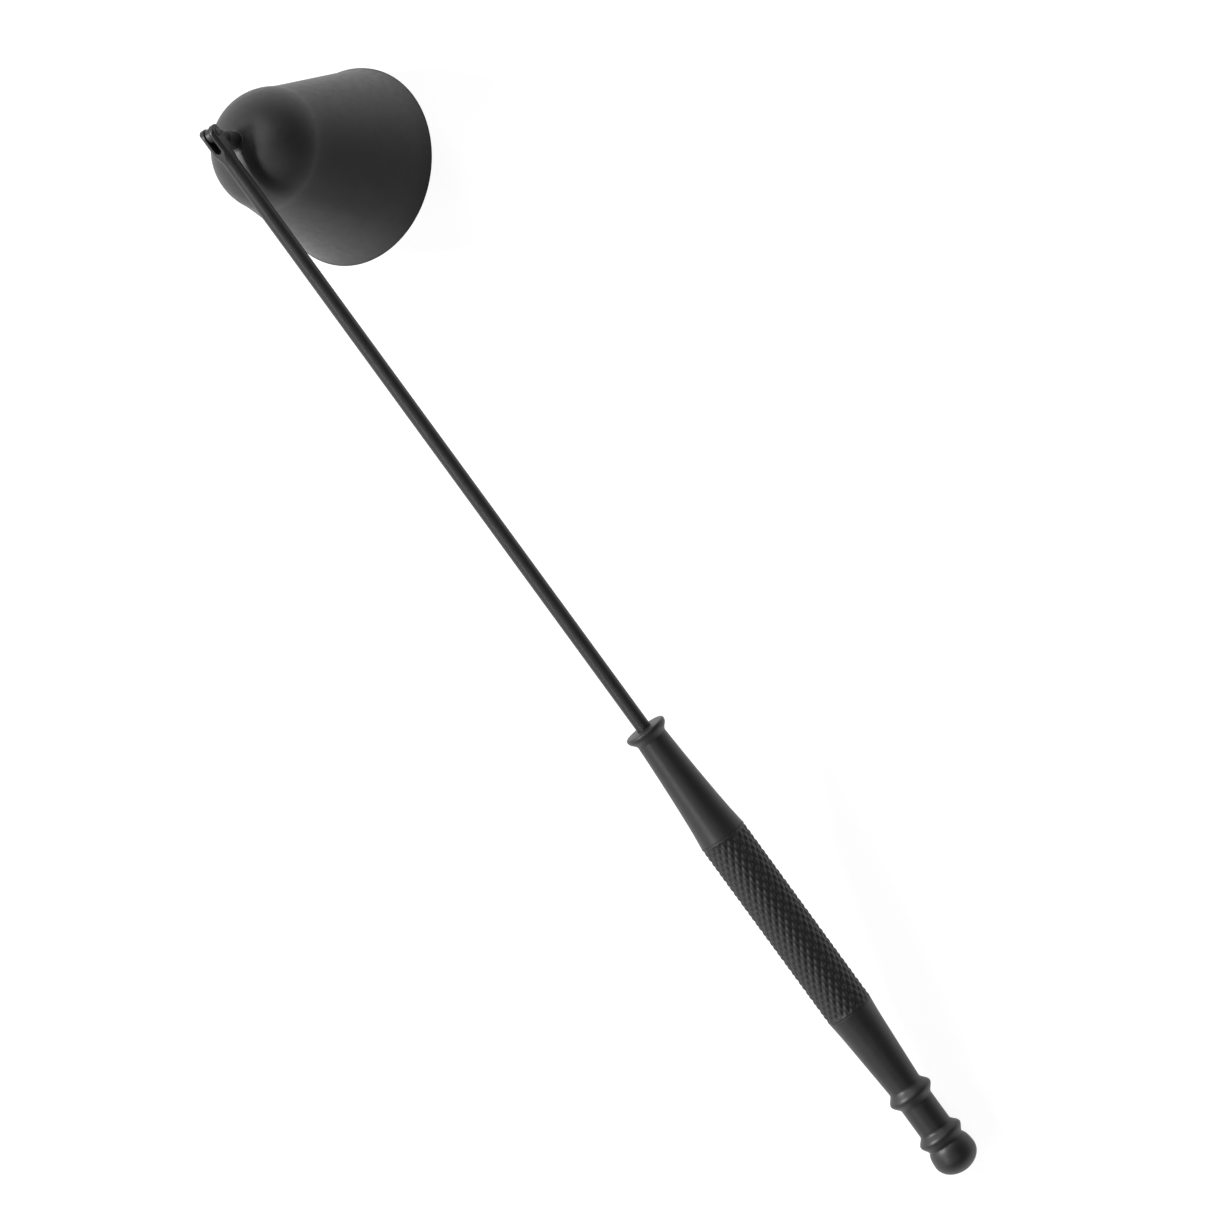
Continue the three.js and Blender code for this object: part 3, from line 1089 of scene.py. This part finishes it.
    def finial(self) -> bpy.types.Object:
        """Build the tail: a bead, a notch and the ball."""
        _, tip, _ = self.place.reach("tail_finial")
        crest = (self.bead_2_start + self.bead_2_end) / 2
        blind = tip - self.blind_depth
        side = Outline().corner(0.0, blind).corner(self.bore_r, blind)
        side.corner(self.bore_r, self.bead_2_start).corner(self.neck_r, self.bead_2_start)
        self._bead_side(side, (self.neck_r, self.bead_2_start), (self.bead_r, crest))
        self._bead_side(side, (self.bead_r, crest), (self.notch_r, self.bead_2_end))
        side.curve((self.ball_r, self.bead_2_end + self.notch_ease),
                   (self.ball_r, self.ball_centre))
        rise = tip - self.tip_clear - self.ball_centre
        for step in range(1, self.ball_steps + 1):
            angle = math.pi / 2 * step / self.ball_steps
            radius = self.ball_r * math.cos(angle) if step < self.ball_steps else 0.0
            side.corner(radius, self.ball_centre + rise * math.sin(angle))
        made = loose_object("finial_with_ball", turned(side, self.facets))
        return fit(made, self.place, self.paint, Fitting(Body.HANDLE, Slot.PAINT, ("tail_finial",)))

    def build(self) -> None:
        """Build the whole sub-assembly."""
        self.front_ferrule()
        self.grip()
        self.rear_ferrule()
        self.finial()


@dataclass(frozen=True)
class Softbox:
    """One soft studio light. Its bearing is clockwise from the view's left, in degrees."""

    name: str
    bearing: float
    elevation: float
    size: tuple[float, float]
    light: float
    distance: float = 1.2

    def build(self, aim: Vector, left: float) -> bpy.types.Object:
        """Make the light.

        Args:
            aim: The point that it faces.
            left: Direction of the view's left in the snuffer's plan, in radians.

        Returns:
            The light.
        """
        data = bpy.data.lights.new(self.name, "AREA")
        data.shape = "RECTANGLE"
        data.size, data.size_y = self.size
        data.energy = self.light * math.pi * self.distance**2
        made = bpy.data.objects.new(self.name, data)
        bearing, elevation = left - math.radians(self.bearing), math.radians(self.elevation)
        level = self.distance * math.cos(elevation)
        away = Vector((level * math.cos(bearing), level * math.sin(bearing),
                       self.distance * math.sin(elevation)))
        made.location = aim + away
        made.rotation_euler = away.to_track_quat("Z", "Y").to_euler()
        made.visible_camera = False
        bpy.context.scene.collection.objects.link(made)
        return made


@dataclass
class Studio:
    """The pale glowing table, the lights, the room and the camera that looks straight down."""

    frame_turn: float = math.radians(53.92)
    camera_height: float = 3.0
    view_width: float = 0.239
    sensor_width: float = 36.0
    clip_end: float = 20.0
    aim_shift: tuple[float, float] = (-0.0076, -0.0021)
    floor_size: float = 6.0
    floor_tone: tuple[float, float, float, float] = (0.25, 0.25, 0.25, 1.0)
    floor_glow: float = 0.90
    floor_roughness: float = 0.9
    floor_drop: float = 0.0001
    horizon: float = 0.75
    overhead: float = 0.01
    falloff: float = 2.2
    aim_height: float = 0.02
    softboxes: tuple[Softbox, ...] = (
        Softbox("key_left", 0.0, 34.0, (0.22, 0.22), 3.7),
        Softbox("tall_back", 56.0, 44.0, (0.30, 0.90), 0.80),
        Softbox("fill_front", -45.0, 37.0, (0.60, 0.36), 0.95),
        Softbox("strip_front", 255.0, 66.0, (0.40, 0.30), 0.22),
    )

    def _view_to_plan(self, right: float, up: float) -> Vector:
        """Turn a step to the view's right and up into one in the snuffer's plan."""
        cos, sin = math.cos(self.frame_turn), math.sin(self.frame_turn)
        return Vector((right * cos - up * sin, right * sin + up * cos, 0.0))

    def camera(self) -> None:
        """Make the long-lens camera over the snuffer."""
        data = bpy.data.cameras.new("overhead")
        data.sensor_width = self.sensor_width
        data.lens = data.sensor_width * self.camera_height / self.view_width
        data.clip_end = self.clip_end
        made = bpy.data.objects.new("overhead", data)
        above = Vector((0.0, 0.0, self.camera_height))
        made.location = self._view_to_plan(*self.aim_shift) + above
        made.rotation_euler = (0.0, 0.0, self.frame_turn)
        bpy.context.scene.collection.objects.link(made)
        bpy.context.scene.camera = made

    def floor(self) -> None:
        """Make the plain pale table top, lit from below, that the snuffer lies on."""
        mesh = bmesh.new()
        bmesh.ops.create_grid(mesh, x_segments=2, y_segments=2, size=self.floor_size / 2)
        made = loose_object("floor", mesh)
        made.location.z = -self.floor_drop
        sheet = NodeSheet("pale_table")
        sheet.set(Base_Color=self.floor_tone, Roughness=self.floor_roughness,
                  Emission_Color=WHITE, Emission_Strength=self.floor_glow)
        sheet.bump(sheet.noise(0.8, 2.0), 0.02, 0.05)
        made.data.materials.append(sheet.material)

    def lights(self) -> None:
        """Make the softboxes."""
        aim = Vector((0.0, 0.0, self.aim_height))
        for box in self.softboxes:
            made = box.build(aim, self.frame_turn + math.pi)
            log.info("light %s, %.0f degrees up", made.name, box.elevation)

    def surround(self) -> None:
        """Make the room: pale low down and dim overhead."""
        world = bpy.data.worlds.new("surround")
        world.use_nodes = True
        nodes, links = world.node_tree.nodes, world.node_tree.links
        height = nodes.new("ShaderNodeSeparateXYZ")
        links.new(nodes.new("ShaderNodeTexCoord").outputs["Generated"], height.inputs["Vector"])
        lift = nodes.new("ShaderNodeMath")
        lift.operation = "ABSOLUTE"
        links.new(height.outputs["Z"], lift.inputs[0])
        low = nodes.new("ShaderNodeMath")
        low.operation = "SUBTRACT"
        low.inputs[0].default_value = 1.0
        links.new(lift.outputs[0], low.inputs[1])
        fall = nodes.new("ShaderNodeMath")
        fall.operation = "POWER"
        fall.inputs[1].default_value = self.falloff
        links.new(low.outputs[0], fall.inputs[0])
        tone = nodes.new("ShaderNodeMapRange")
        tone.inputs["To Min"].default_value = self.overhead
        tone.inputs["To Max"].default_value = self.horizon
        links.new(fall.outputs[0], tone.inputs["Value"])
        links.new(tone.outputs["Result"], nodes["Background"].inputs["Strength"])
        nodes["Background"].inputs["Color"].default_value = WHITE
        bpy.context.scene.world = world

    def build(self) -> None:
        """Build the whole studio."""
        self.camera()
        self.floor()
        self.lights()
        self.surround()
        bpy.context.scene.view_settings.view_transform = "Standard"


def main() -> None:
    """Build the snuffer and its studio."""
    logging.basicConfig(level=logging.INFO, format="%(name)s: %(message)s")
    handle_place, bell_place = hinge_frames()
    paint = PowderCoat(PaintLook("satin_black"))
    # The grip's paint is darker than the rest of the coat: painted shade that stands in for the shade in the
    # knurl's hollows.
    shade_darkened_grip_paint = PowderCoat(PaintLook(
        "satin_black_grip_painted_shade", thin=(0.0045, 0.0045, 0.0048, 1.0),
        thick=(0.0070, 0.0070, 0.0074, 1.0), gloss=(0.50, 0.58)))
    zinc = BrightZinc(SteelLook())
    BellAssembly(bell_place, paint, zinc).build()
    RodAssembly(handle_place, paint).build()
    HandleAssembly(handle_place, paint, shade_darkened_grip_paint).build()
    Studio().build()


if __name__ == "__main__":
    main()
